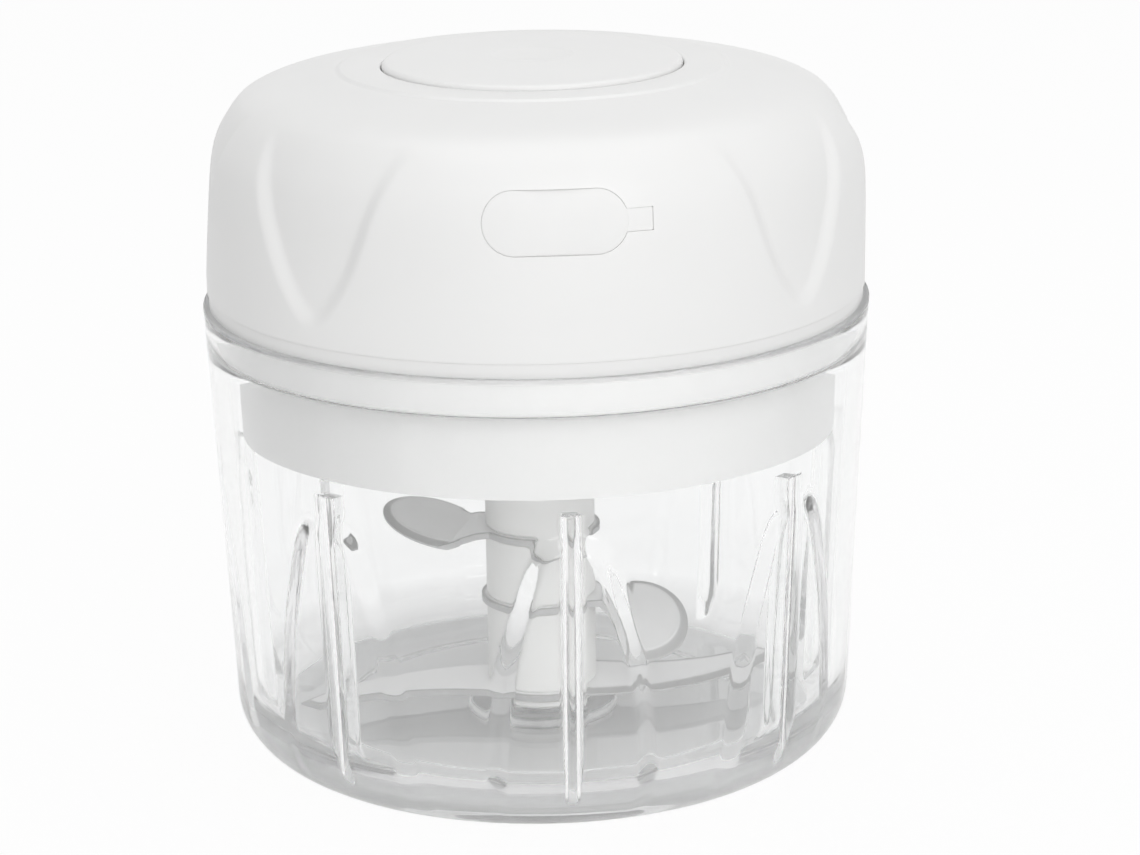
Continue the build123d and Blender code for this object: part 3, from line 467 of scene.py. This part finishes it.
def head_mesh():
    turns = np.linspace(0.0, 2.0 * math.pi, 640, endpoint=False)
    line, outward = shoulder(96)
    steps = np.hypot(*np.diff(line, axis=0).T)
    runs = np.concatenate(([0.0], np.cumsum(steps)))
    edge = smooth_line(petal_outline, (1.0, 0.0), (0.1, 1.0), 220)[0]
    radii = []
    heights = []
    hem = corner(head_radius - hem_round, parting_height + hem_round, -90.0, -10.0, hem_round, 5)
    add_rows(radii, heights, hem, turns)
    for (radius, height), (out_radial, out_up), run in zip(line, outward, runs):
        if height < parting_height + 1.1 * hem_round:
            continue
        sink = petal_sink(edge, radius, run, turns)
        radii.append(radius - out_radial * sink)
        heights.append(height - out_up * sink)
    crease_start = head_radius - shoulder_run - crease_inset
    plain = []
    for share in (0.0, 0.15, 0.3, 0.5, 0.7, 0.85, 1.0):
        rise = (roof_top - shoulder_top - crease_foot) * eased(share)
        plain.append((crease_start - crease_run * share, shoulder_top + crease_foot + rise))
    plain.extend((one, roof_top) for one in roof_radii)
    plain.extend(corner(button_hole + hole_round, roof_top - hole_round, 90.0, 180.0, hole_round, 5))
    plain.append((button_hole, roof_under + 0.4))
    plain.append((button_hole, roof_under))
    plain.append((roof_under_radius, roof_under))
    inner = line - outward * head_wall
    plain.extend(inner[::-4])
    plain.append((head_radius - head_wall, parting_height))
    add_rows(radii, heights, plain, turns)
    return turned_mesh("head_shell", radii, heights, turns)


def prism(name, outline, front, back):
    # an outline in the front view pushed along Y
    count = len(outline)
    vertices = []
    for depth in (front, back):
        for across, height in outline:
            vertices.append((across * millimetre, depth * millimetre, height * millimetre))
    faces = [list(range(count))[::-1], list(range(count, 2 * count))]
    for index in range(count):
        after = (index + 1) % count
        faces.append([index, after, count + after, count + index])
    return link_mesh(name, vertices, faces, False)


def carve(piece, cutter, operation="DIFFERENCE"):
    # carry out a boolean on a piece of this script and drop the cutter
    change = piece.modifiers.new("carve", "BOOLEAN")
    change.operation = operation
    change.object = cutter
    change.solver = "EXACT"
    bpy.context.view_layer.update()
    carved = bpy.data.meshes.new_from_object(piece.evaluated_get(bpy.context.evaluated_depsgraph_get()))
    piece.modifiers.clear()
    old = piece.data
    piece.data = carved
    carved.name = piece.name
    bpy.data.meshes.remove(old)
    old = cutter.data
    bpy.data.objects.remove(cutter)
    bpy.data.meshes.remove(old)


# Charging port: its flap, the strap beside it and the recess they lie in
port_height = shoulder_top - 11.2
port_width = 11.6
port_tall = 6.4
flap_centre = -1.45
flap_width = 17.6
flap_tall = 7.7
flap_end = flap_centre + flap_width / 2
flap_thickness = 1.1
flap_gap = 0.28
seam = 0.04
recess_depth = flap_thickness + flap_gap
cut_front = -head_radius - 5.0
cut_back = -head_radius + 8.0
port_back = -30.0
tab_reach = 3.0
tab_half = 1.4
tab_overlap = 1.0
strap_gap = 0.015
strap_tuck = 0.55
strap_corner = 0.2
# width, height and depth of the plug's rings
plug_rings = [(9.6, 4.4, 2.3), (10.2, 5.0, 2.25), (10.4, 5.2, 2.1), (10.4, 5.2, 1.08)]
# inset and depth of the rings round the edges of flap and strap
flap_edge = [
    (-0.035, 1.08), (-0.035, 0.13), (0.0, 0.11), (0.0, 0.09), (0.025, 0.05), (0.07, 0.015), (0.14, 0.0),
]
strap_edge = [
    (0.0, 1.2), (0.0, 0.1), (0.03, 0.06), (0.09, 0.035), (0.2, 0.03), (0.5, 0.03), (0.9, 0.03), (1.1, 0.03),
]
front_line = shoulder(200)[0]


def slot_outline(width, tall, count=24):
    # corners of a round-ended slot about the flap's middle
    end_radius = tall / 2
    half = width / 2 - end_radius
    outline = []
    for side, start in ((1, -90.0), (-1, 90.0)):
        for index in range(count + 1):
            angle = math.radians(start + 180.0 * index / count)
            across = flap_centre + side * half + end_radius * math.cos(angle)
            outline.append((across, port_height + end_radius * math.sin(angle)))
    return outline


def on_head(across, height, depth):
    # a point of the head's front, a depth below the surface
    radius = np.interp(height, front_line[:, 1], front_line[:, 0]) - depth
    return (across * millimetre, -math.sqrt(radius ** 2 - across ** 2) * millimetre, height * millimetre)


def stacked_plate(name, outlines):
    # rings of equal point count joined one to the next, with both ends closed
    vertices = []
    faces = []
    count = len(outlines[0][0])
    for outline, depth in outlines:
        for across, height in outline:
            vertices.append(on_head(across, height, depth))
    for ring in range(len(outlines) - 1):
        for index in range(count):
            after = (index + 1) % count
            low = ring * count
            faces.append([low + index, low + after, low + count + after, low + count + index])
    faces.append(list(range(count))[::-1])
    last = (len(outlines) - 1) * count
    faces.append(list(range(last, last + count)))
    piece = link_mesh(name, vertices, faces)
    piece.data.set_sharp_from_angle(angle=math.radians(50.0))
    return piece


def build_flap():
    # the port's flap with rounded edges, a thin lip in the seam and the plug behind it
    rings = []
    for width, tall, depth in plug_rings:
        rings.append((slot_outline(width, tall), depth))
    face = [(inset, 0.0) for inset in (0.5, 1.2, 1.9, 2.6, 3.2, 3.6)]
    for inset, depth in flap_edge + face:
        rings.append((slot_outline(flap_width - 2 * inset, flap_tall - 2 * inset), depth))
    return stacked_plate("flap_plate", rings)


def box_outline(left, right, low, high, rounding):
    outline = []
    for across, height, start in (
        (right - rounding, low + rounding, -90.0), (right - rounding, high - rounding, 0.0),
        (left + rounding, high - rounding, 90.0), (left + rounding, low + rounding, 180.0),
    ):
        outline.extend(corner(across, height, start, start + 90.0, rounding, 6))
    return outline


def build_tether():
    # the short strap beside the flap, a little below the surface
    left = flap_end - strap_tuck
    right = flap_end + tab_reach - strap_gap
    half = tab_half - strap_gap
    rings = []
    for inset, depth in strap_edge:
        low = port_height - half + inset
        high = port_height + half - inset
        rings.append((box_outline(left + inset, right - inset, low, high, strap_corner), depth))
    return stacked_plate("flap_strap", rings)


def recess_floor():
    # a turned body that the recess stops at
    line, outward = shoulder(60)
    line = line - outward * recess_depth
    turns = np.linspace(0.0, 2.0 * math.pi, 480, endpoint=False)
    radii = []
    heights = []
    add_rows(radii, heights, [(0.0, parting_height), *line, (0.0, line[-1][1])], turns)
    return turned_mesh("recess_floor", radii, heights, turns)


def build_head():
    # the shell with the recess and the port cut into its front
    head = head_mesh()
    recess = prism("recess", slot_outline(flap_width + 2 * seam, flap_tall + 2 * seam), cut_front, cut_back)
    left = flap_end - tab_overlap
    right = flap_end + tab_reach
    low = port_height - tab_half
    high = port_height + tab_half
    tab = prism("tab_recess", [(left, low), (right, low), (right, high), (left, high)], cut_front, cut_back)
    carve(recess, tab, "UNION")
    carve(recess, recess_floor())
    carve(head, recess)
    carve(head, prism("port", slot_outline(port_width, port_tall), cut_front, port_back))
    head.data.shade_smooth()
    head.data.set_sharp_from_angle(angle=math.radians(38.0))
    return head


# Bowl
rim_radius = 44.0
bowl_height = 61.0
wall_lean = 0.044
bowl_wall = 2.4
brim_inner = 42.6
rim_round = 0.25
edge_round = 0.3
ledge_height = 56.0
ledge_drop = 0.03
foot_edge = 28.0
underside_height = 0.8
base_round = 7.2
floor_height = 3.0
floor_round = 8.0
boss_radius = 10.0
boss_top = 4.1
boss_fillet = 0.35
collar_radius = 6.5
collar_top = 4.57
collar_fillet = 0.25
collar_round = 0.2
pin_hole = 2.04
pin_hole_bottom = 1.47
rib_count = 8
rib_top = 43.0
rib_rise = 2.6
rib_half = 1.0
rib_pitch = 39.2
rib_round = 0.8
rib_foot = 0.35
arch_depth = 0.8
arch_flank = 2.6
# half width of an arch by height
arch_outline = [
    (0.0, 39.4), (2.0, 39.1), (3.4, 38.1), (4.4, 36.2), (5.2, 33.6), (6.2, 30.0), (7.5, 25.0), (8.7, 17.0),
    (9.4, 8.0), (9.7, -2.0),
]


def outer_radius(height):
    return rim_radius - wall_lean * (bowl_height - height)


def inner_radius(height):
    return outer_radius(height) - bowl_wall


def rib_height(inside):
    # rise of a rib by the distance inside its outline: rounded crest, steep side, small fillet at the foot
    crest = rib_round - np.clip(inside, 0.0, rib_round)
    rounded = rib_rise - rib_round + np.sqrt(np.maximum(rib_round ** 2 - crest ** 2, 0.0))
    foot = rib_foot - np.clip(-inside - 0.04, 0.0, rib_foot)
    hollow = rib_foot - np.sqrt(np.maximum(rib_foot ** 2 - foot ** 2, 0.0))
    return np.where(inside > 0.0, rounded, hollow)


def bowl_inside(line, radius, height, turns):
    # the inner wall's radius with the arched hollows and the upright ribs that stand in them
    away = (turns + math.pi / rib_count) % (2.0 * math.pi / rib_count) - math.pi / rib_count
    wall = inner_radius(height)
    across = wall * np.sin(away)
    share = np.clip(inside_outline(line, across, height) / arch_flank + 0.5, 0.0, 1.0)
    hollow = arch_depth * (0.7 * share + 0.3 * eased(share))
    rib_inside = np.minimum(rib_half - rib_pitch * np.abs(np.sin(away)), rib_top - height)
    rib = wall + hollow - rib_height(rib_inside) * (1.0 + hollow / rib_rise)
    return np.minimum(radius + hollow, rib)


def bowl_turns():
    # columns gathered about each rib
    close = [0.0, 0.25, 0.45, 0.62, 0.78, 0.9, 0.97, 1.0, 1.04, 1.1, 1.2, 1.4, 1.7, 2.1]
    half_sector = math.pi / rib_count
    offsets = [math.asin(one / rib_pitch) for one in close]
    offsets.extend(np.linspace(offsets[-1], half_sector, 44)[1:-1].tolist())
    sector = [-one for one in offsets[:0:-1]] + offsets + [half_sector]
    turns = []
    for index in range(rib_count):
        centre = 2.0 * math.pi * index / rib_count
        turns.extend(centre + one for one in sector)
    return np.array(turns)


def bowl_profile():
    # outer line from the middle of the underside to the rim, then the inner line back to the pin hole
    lean = math.atan(wall_lean)
    outside = [(one, underside_height) for one in (0.0, 4.0, 10.0, 16.0, 22.0, 26.5)]
    outside.extend(corner(foot_edge - edge_round, underside_height - edge_round, 90.0, 0.0, edge_round, 4))
    outside.extend(corner(foot_edge + edge_round, edge_round, 180.0, 270.0, edge_round, 4))
    outside.extend((one, 0.0) for one in (30.0, 32.2, 33.8))
    centre = outer_radius(base_round) - base_round / math.cos(lean)
    outside.extend(corner(centre, base_round, -90.0, -math.degrees(lean), base_round, 16))
    outside.extend((outer_radius(one), one) for one in np.linspace(10.0, 58.0, 17))
    outside.extend(corner(rim_radius - rim_round, bowl_height - rim_round, 0.0, 90.0, rim_round, 5))
    outside.extend(corner(brim_inner + edge_round, bowl_height - edge_round, 90.0, 180.0, edge_round, 4))
    outside.append((brim_inner, 58.4))
    seat = ledge_height - ledge_drop
    outside.extend(corner(brim_inner - edge_round, seat + edge_round, 0.0, -90.0, edge_round, 4))
    seat_radius = inner_radius(ledge_height)
    outside.extend(corner(seat_radius + edge_round, seat - edge_round, 90.0, 180.0, edge_round, 4))
    spread = np.arange(54.5, 43.7, -1.2).tolist()
    spread.extend(rib_top + one for one in (0.6, 0.4, 0.25, 0.12, 0.04, -0.02, -0.1, -0.25, -0.5, -0.9))
    spread.extend(np.arange(41.5, 11.4, -0.75).tolist())
    inside = [(inner_radius(one), one) for one in spread]
    centre = inner_radius(floor_height + floor_round) - floor_round / math.cos(lean)
    inside.extend(corner(centre, floor_height + floor_round, -math.degrees(lean), -90.0, floor_round, 26))
    floor = [(one, floor_height) for one in (29.0, 26.0, 23.0, 20.0, 17.0, 14.0, 12.0, 10.8)]
    floor.extend(corner(boss_radius + boss_fillet, floor_height + boss_fillet, 270.0, 180.0, boss_fillet, 4))
    floor.extend(corner(boss_radius - edge_round, boss_top - edge_round, 0.0, 90.0, edge_round, 4))
    floor.append((8.2, boss_top))
    fillet = collar_fillet
    floor.extend(corner(collar_radius + fillet, boss_top + fillet, 270.0, 180.0, fillet, 3))
    floor.extend(corner(collar_radius - collar_round, collar_top - collar_round, 0.0, 90.0, collar_round, 3))
    floor.extend([(4.0, collar_top), (pin_hole, collar_top)])
    floor.extend([(pin_hole, pin_hole_bottom), (0.0, pin_hole_bottom)])
    return outside, inside, floor


def build_bowl():
    turns = bowl_turns()
    outside, inside, floor = bowl_profile()
    line = smooth_line(arch_outline, (1.0, 0.0), (0.0, -1.0), 200)[0]
    radii = []
    heights = []
    add_rows(radii, heights, outside, turns)
    for radius, height in inside:
        radii.append(bowl_inside(line, radius, height, turns))
        heights.append(np.full_like(turns, height))
    add_rows(radii, heights, floor, turns)
    return turned_mesh("clear_bowl", radii, heights, turns)


# Button spring
spring_radius = 6.4
spring_wire = 0.7
spring_turns = 4
spring_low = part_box("button_spring")[0][2] / millimetre + spring_wire / 2
spring_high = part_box("button_spring")[1][2] / millimetre - spring_wire / 2


def build_spring(steps=300, sides=12):
    # a round wire wound round the axis, with flat ends
    vertices = []
    faces = []
    for step in range(steps + 1):
        share = step / steps
        turn = 2.0 * math.pi * spring_turns * share
        outward = Vector((math.cos(turn), math.sin(turn), 0.0))
        height = spring_low + (spring_high - spring_low) * share
        middle = outward * spring_radius + Vector((0.0, 0.0, height))
        for side in range(sides):
            angle = 2.0 * math.pi * side / sides
            skin = outward * math.cos(angle) + Vector((0.0, 0.0, math.sin(angle)))
            vertices.append((middle + skin * spring_wire / 2) * millimetre)
    for step in range(steps):
        for side in range(sides):
            after = (side + 1) % sides
            low = step * sides
            faces.append([low + side, low + sides + side, low + sides + after, low + after])
    faces.append(list(range(sides)))
    faces.append(list(range(steps * sides, (steps + 1) * sides))[::-1])
    return link_mesh("coil_spring", vertices, faces)


# Finishes, and the CAD pieces that wear them
white = (0.83, 0.83, 0.825)
finishes = {
    "clear_bowl": clear_plastic("clear_bowl"),
    "housing_white": moulded("housing_white", white, 0.34, 0.4, 0.003),
    "button_white": moulded("button_white", (0.84, 0.84, 0.835), 0.36, 0.35, 0.003),
    "flap_silicone": rubbery("flap_silicone", white, 0.5),
    "seal_silicone": rubbery("seal_silicone", (0.84, 0.84, 0.83), 0.55),
    "hub_white": moulded("hub_white", (0.83, 0.83, 0.82), 0.42, 0.3, 0.004),
    "coupling_plastic": moulded("coupling_plastic", (0.74, 0.74, 0.73), 0.45, 0.3, 0.004),
    "bracket_plastic": moulded("bracket_plastic", (0.10, 0.10, 0.105), 0.5, 0.3, 0.006),
    "cap_plastic": moulded("cap_plastic", (0.03, 0.03, 0.032), 0.45, 0.3, 0.006),
    "switch_black": moulded("switch_black", (0.025, 0.025, 0.027), 0.4, 0.2, 0.004),
    "blade_steel": steel_with_painted_bevel_shade("blade_steel", (0.94, 0.94, 0.94), 0.5),
    "pin_steel": metal("pin_steel", (0.66, 0.66, 0.66), 0.22, (1.0, 1.0, 8.0)),
    "motor_steel": metal("motor_steel", (0.55, 0.55, 0.56), 0.34, (1.0, 1.0, 0.15)),
    "screw_steel": metal("screw_steel", (0.62, 0.62, 0.63), 0.3, (1.0, 1.0, 1.0)),
    "spring_steel": metal("spring_steel", (0.58, 0.58, 0.6), 0.3, (1.0, 1.0, 4.0)),
    "nickel": metal("nickel", (0.66, 0.62, 0.56), 0.3, (0.2, 1.0, 1.0)),
    "terminal_brass": metal("terminal_brass", (0.80, 0.60, 0.28), 0.32, (1.0, 1.0, 0.3)),
    "socket_metal": metal("socket_metal", (0.68, 0.68, 0.69), 0.28, (1.0, 0.2, 1.0)),
    "cell_wrap": cell_sleeve("cell_wrap"),
    "board_green": board_resin("board_green"),
}

slot_nodes = {
    "housing_white": ["lower_housing"],
    "button_white": ["button"],
    "seal_silicone": ["bowl_seal", "shaft_seal"],
    "hub_white": ["spindle", "hub_foot", "hub_lower", "hub_middle", "hub_upper"],
    "coupling_plastic": ["drive_coupling"],
    "bracket_plastic": ["motor_bracket", "cell_holder"],
    "cap_plastic": ["motor_cap"],
    "switch_black": ["switch_body", "switch_plunger"],
    "blade_steel": ["lower_blade", "middle_blade", "upper_blade"],
    "pin_steel": ["pivot_pin"],
    "motor_steel": ["motor_can", "motor_shaft"],
    "screw_steel": ["motor_screws", "bracket_screws", "housing_screws", "board_screws"],
    "nickel": ["cell_strips"],
    "terminal_brass": ["motor_terminals"],
    "socket_metal": ["usb_socket"],
    "cell_wrap": ["battery_cell"],
    "board_green": ["control_board"],
}


def dress(piece, material):
    piece.data.materials.clear()
    piece.data.materials.append(material)


for slot_name, node_names in slot_nodes.items():
    for node_name in node_names:
        dress(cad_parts[node_name], finishes[slot_name])

# Pieces made here in place of CAD pieces
head_shell = build_head()
dress(head_shell, finishes["housing_white"])
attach(head_shell, "head")
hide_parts("upper_housing")

flap_plate = build_flap()
dress(flap_plate, finishes["flap_silicone"])
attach(flap_plate, "port_flap")
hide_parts("port_flap")

flap_strap = build_tether()
dress(flap_strap, finishes["flap_silicone"])
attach(flap_strap, "head")
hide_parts("flap_tether")

clear_bowl = build_bowl()
dress(clear_bowl, finishes["clear_bowl"])
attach(clear_bowl, "bowl")
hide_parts("bowl")

coil_spring = build_spring()
dress(coil_spring, finishes["spring_steel"])
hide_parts("button_spring")
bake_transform(coil_spring)


def rays(finish, straight, bent):
    # a share of 0 to 1: straight for the camera's rays, bent for mirrored and refracted ones
    path = "ShaderNodeLightPath"
    seen = finish.node(path, {}, {}, "Is Camera Ray")
    turned = finish.node(path, {}, {}, "Is Glossy Ray") + finish.node(path, {}, {}, "Is Transmission Ray")
    turned = finish.node("ShaderNodeMath", {"operation": "MINIMUM"}, {0: turned, 1: 1.0})
    return finish.node("ShaderNodeMath", {"operation": "MAXIMUM"}, {0: seen * straight, 1: turned * bent})


def studio_floor():
    # a pale floor that shows as white and still takes a faint shadow, whiter away from the object
    half = 4.0
    corners = [(-half, -half, 0.0), (half, -half, 0.0), (half, half, 0.0), (-half, half, 0.0)]
    floor = link_mesh("floor", corners, [(0, 1, 2, 3)], False)
    floor.location.z = -0.2 * millimetre
    material, finish = new_finish("pale_floor")
    lit = finish.node("ShaderNodeBsdfDiffuse", {}, {"Color": grey(0.9)})
    glow = finish.node("ShaderNodeEmission", {}, {"Color": grey(1.0), "Strength": 1.0})
    bent = 0.04 + finish.band(finish.length(finish.place()), 36.0, 58.0) * 0.82
    shown = rays(finish, 0.94, bent)
    finish.output(finish.node("ShaderNodeMixShader", {}, {0: shown, 1: lit, 2: glow}))
    dress(floor, material)


def studio_world():
    # white behind the object, a slightly greyer room on the camera's side
    world = bpy.data.worlds.new("studio")
    bpy.context.scene.world = world
    world.use_nodes = True
    finish = Finish(world.node_tree)
    way = finish.node("ShaderNodeTexCoord", {}, {}, "Generated")
    ahead = finish.node("ShaderNodeSeparateXYZ", {}, {"Vector": way}, "Y")
    backdrop = finish.mix(finish.ramp(ahead, -0.9, 0.2), grey(0.85), grey(1.0))
    shown = finish.node("ShaderNodeBackground", {}, {"Color": backdrop, "Strength": 1.0})
    fill = finish.node("ShaderNodeBackground", {}, {"Color": grey(1.0), "Strength": 0.56})
    mixed = finish.node("ShaderNodeMixShader", {}, {0: rays(finish, 1.0, 0.9), 1: fill, 2: shown})
    finish.node("ShaderNodeOutputWorld", {}, {"Surface": mixed})


def soft_box(name, place, target, size, power):
    # a wide lamp aimed at a point
    lamp = bpy.data.lights.new(name, "AREA")
    lamp.shape = "RECTANGLE"
    lamp.size = size[0]
    lamp.size_y = size[1]
    lamp.energy = power
    holder = bpy.data.objects.new(name, lamp)
    bpy.context.scene.collection.objects.link(holder)
    holder.location = place
    way = Vector(target) - Vector(place)
    holder.rotation_euler = way.to_track_quat("-Z", "Y").to_euler()


def photo_camera():
    # the camera that was fitted to the photo's outline
    lens = bpy.data.cameras.new("photo_camera")
    lens.sensor_fit = "HORIZONTAL"
    lens.sensor_width = 36.0
    lens.lens = 103.0
    lens.shift_x = 0.0277
    lens.shift_y = 0.0013
    camera = bpy.data.objects.new("photo_camera", lens)
    bpy.context.scene.collection.objects.link(camera)
    turn = Matrix.Rotation(math.radians(-5.25), 4, "Z")
    tilt = Matrix.Rotation(math.radians(73.34), 4, "X")
    roll = Matrix.Rotation(math.radians(-0.98), 4, "Z")
    place = Matrix.Translation((-0.03843, -0.41824, 0.1675))
    camera.matrix_world = place @ turn @ tilt @ roll
    bpy.context.scene.camera = camera


# Studio
studio_floor()
studio_world()
soft_box("key", place=(0.13, -0.77, 0.62), target=(0.0, 0.0, 0.05), size=(0.6, 0.5), power=2.2)
soft_box("top", place=(0.05, 0.0, 0.9), target=(0.0, 0.0, 0.05), size=(0.8, 0.8), power=2.0)
soft_box("low", place=(0.1, -0.8, 0.11), target=(0.0, 0.0, 0.04), size=(0.7, 0.18), power=0.9)
photo_camera()
scene = bpy.context.scene
scene.view_settings.view_transform = "Standard"
scene.cycles.max_bounces = 32
scene.cycles.glossy_bounces = 24
scene.cycles.transmission_bounces = 32
